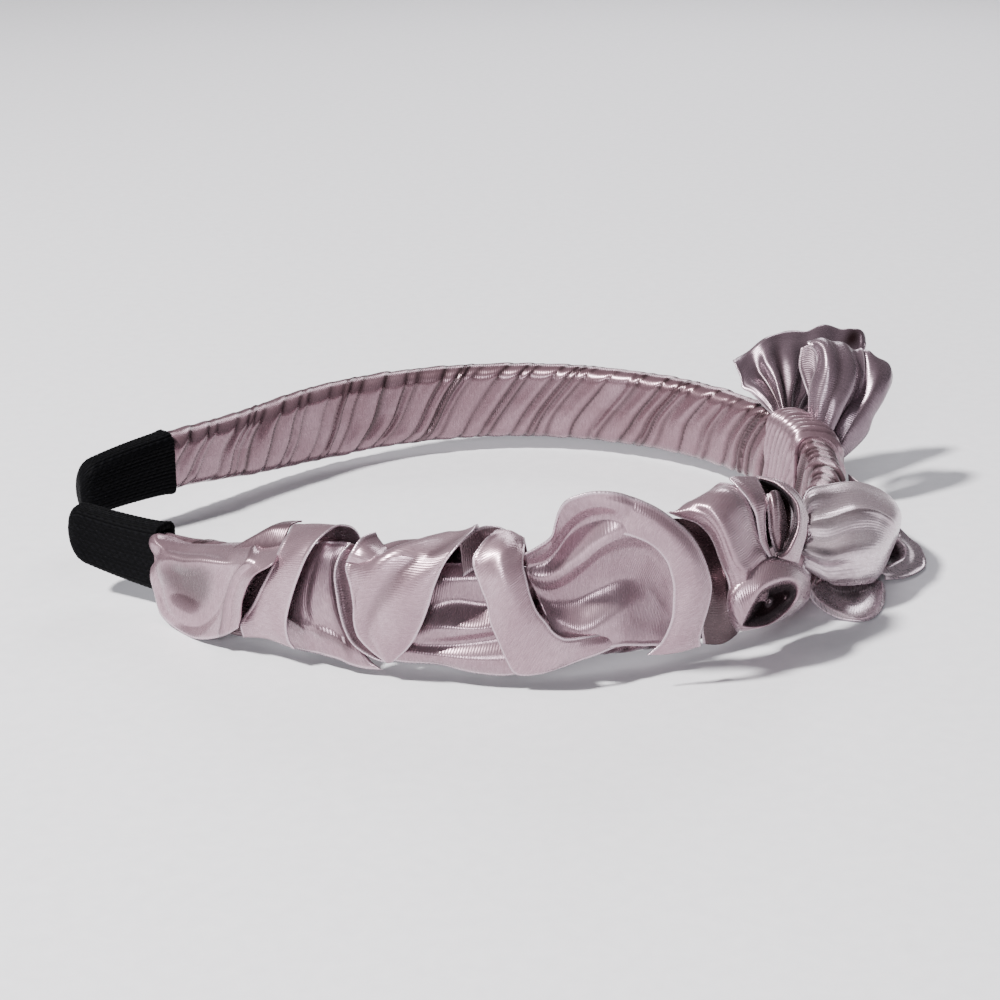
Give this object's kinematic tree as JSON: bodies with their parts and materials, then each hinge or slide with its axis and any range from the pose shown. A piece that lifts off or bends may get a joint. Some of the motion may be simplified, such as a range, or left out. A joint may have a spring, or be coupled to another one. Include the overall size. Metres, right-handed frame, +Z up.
{
  "type": "knotted headband",
  "caption": "Padded satin-wrapped hoop headband with a ruffled ribbon along one leg, a knotted two-winged bow at the crown and ribbed elastic end sleeves.",
  "frame": {"origin": "on the table, under the middle of the whole object's box, with the headband lying on its edge", "axes": "+X from the open tips towards the bow at the crown, +Y towards the plain leg, +Z up"},
  "size_m": [0.1718, 0.1413, 0.0377],
  "materials": {
    "hoop_plastic": "moulded ABS strip, seen only inside",
    "foam": "thin foam padding under the wrap",
    "satin_wrap": "dusty rose satin ribbon wound in slanting pleats",
    "black_elastic": "black ribbed elastic sleeve",
    "satin_knot": "dusty rose satin in fine tight pleats",
    "satin_ruffle": "glossy dusty rose satin ribbon with a fine crosswise weave",
    "satin_bow": "glossy dusty rose satin ribbon in soft loops",
    "thread": "matching sewing thread"
  },
  "bodies": {
    "ruffled_leg": {"hoop_core_ruffled_leg": "hoop_plastic", "foam_pad_ruffled_leg": "foam", "satin_wrap_ruffled_leg": "satin_wrap", "end_sleeve_ruffled_leg": "black_elastic", "knot_binding": "satin_knot", "ruffle_pouch": "satin_ruffle", "ruffle_strap": "satin_ruffle", "ruffle_under_panel": "satin_ruffle", "ruffle_big_fold": "satin_ruffle", "ruffle_cross_strap": "satin_ruffle", "ruffle_wave_bowl": "satin_ruffle", "ruffle_wave_rim": "satin_ruffle", "rosette_scroll": "satin_ruffle", "rosette_eye_loop": "satin_ruffle", "rosette_tube_loop": "satin_ruffle", "bow_upper_fan": "satin_bow", "bow_upper_front_loop": "satin_bow", "bow_upper_outer_loop": "satin_bow", "bow_lower_big_loop": "satin_bow", "bow_lower_roll": "satin_bow", "bow_lower_back_loop": "satin_bow", "tack_stitch_1": "thread", "tack_stitch_2": "thread", "tack_stitch_3": "thread", "tack_stitch_4": "thread", "tack_stitch_5": "thread", "tack_stitch_6": "thread"},
    "plain_leg": {"hoop_core_plain_leg": "hoop_plastic", "foam_pad_plain_leg": "foam", "satin_wrap_plain_leg": "satin_wrap", "end_sleeve_plain_leg": "black_elastic"}
  },
  "joints": [
    {"name": "hoop_flex", "type": "hinge", "parent": "ruffled_leg", "child": "plain_leg", "pos_m": [0.04687, 0.04869, 0.0115], "axis": [0, 0, -1], "range_deg": [-6, 32], "stiffness_Nm_per_rad": 0.5}
  ]
}
